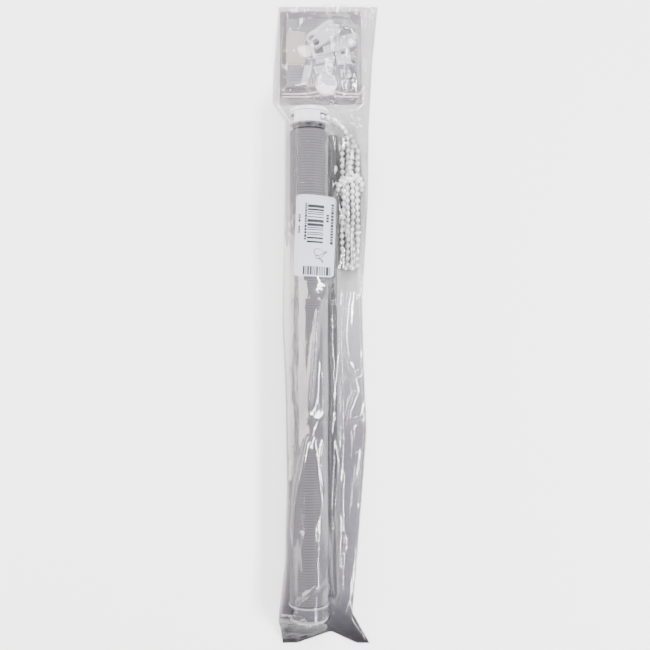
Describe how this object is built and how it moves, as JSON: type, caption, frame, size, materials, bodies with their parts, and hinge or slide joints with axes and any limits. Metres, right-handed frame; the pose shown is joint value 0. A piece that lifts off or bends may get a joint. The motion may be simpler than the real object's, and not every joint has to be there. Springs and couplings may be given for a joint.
{
  "type": "roller blind",
  "caption": "Mini day-and-night roller blind with a bead chain, rolled up on its tube in a clear packing sleeve with a pouch of fittings.",
  "frame": {"origin": "middle of the packed sleeve's footprint, on the surface that it lies on", "axes": "+X along the roller towards the chain end, -Y the way the cloth comes down once the blind hangs, +Z the side that faces the room"},
  "size_m": [0.603, 0.1009, 0.0391],
  "materials": {
    "aluminium": "mill-finish extruded tube",
    "cloth": "ribbed grey polyester, matt",
    "white_plastic": "satin moulded white plastic",
    "grey_plastic": "moulded grey plastic",
    "dark_plastic": "moulded dark grey plastic",
    "steel": "bright zinc-plated steel",
    "chain_plastic": "glossy white plastic beads",
    "leaflet_paper": "thin printed paper, folded",
    "label_paper": "white self-adhesive label with a printed bar pattern",
    "pad_foam": "double-sided foam tape under a beige liner",
    "clear_film": "thin clear crinkled polythene film"
  },
  "bodies": {
    "headset": {"drive_cloth_flange": "white_plastic", "drive_guard": "white_plastic", "drive_cover": "white_plastic", "clutch_core": "dark_plastic", "idle_cloth_flange": "white_plastic", "idle_guard": "white_plastic", "idle_cover": "white_plastic", "chain_run": "chain_plastic", "chain_hank": "chain_plastic", "instruction_leaflet": "leaflet_paper", "adhesive_pad_1": "pad_foam", "adhesive_pad_2": "pad_foam", "clamp_body_1": "white_plastic", "clamp_body_2": "white_plastic", "sash_hook_1": "white_plastic", "sash_hook_2": "white_plastic", "wall_plate_1": "white_plastic", "wall_plate_2": "white_plastic", "chain_guide_plate": "white_plastic", "bracket_spacer": "white_plastic", "mounting_screw_1": "steel", "mounting_screw_2": "steel", "tensioner_base": "white_plastic", "tensioner_cap": "white_plastic", "fittings_pouch": "clear_film"},
    "roller": {"roller_tube": "aluminium", "fabric_roll": "cloth", "sprocket": "grey_plastic", "drive_tube_plug": "dark_plastic", "clutch_spring": "steel", "idle_tube_plug": "grey_plastic", "idle_plug_cap": "grey_plastic", "idle_pin_spring": "steel"},
    "hem": {"hem_bar": "aluminium", "hem_fabric_loop": "cloth", "hem_cap_drive": "white_plastic", "hem_cap_idle": "white_plastic", "fabric_drop": "cloth"},
    "idle_pin": {"idle_pin": "steel"},
    "sleeve": {"packing_sleeve": "clear_film", "label": "label_paper"}
  },
  "joints": [
    {"name": "roller_spin", "type": "hinge", "parent": "headset", "child": "roller", "pos_m": [0, 0.0147, 0.019], "axis": [-1, 0, 0], "range_deg": [0, 5400]},
    {"name": "hem_drop", "type": "slide", "parent": "headset", "child": "hem", "axis": [0, -1, 0], "range_m": [0, 1.301], "deforming": ["fabric_drop", "packing_sleeve"]},
    {"name": "idle_pin_slide", "type": "slide", "parent": "roller", "child": "idle_pin", "axis": [1, 0, 0], "range_m": [0, 0.0072], "stiffness_N_per_m": 250, "springref_m": -0.004, "deforming": ["idle_pin_spring"]},
    {"name": "sleeve_slide", "type": "slide", "parent": "headset", "child": "sleeve", "axis": [-1, 0, 0], "range_m": [0, 0.62], "deforming": ["packing_sleeve"]}
  ],
  "couplings": [
    {"joint": "hem_drop", "follows": "roller_spin", "m_per_rad": 0.0138}
  ]
}
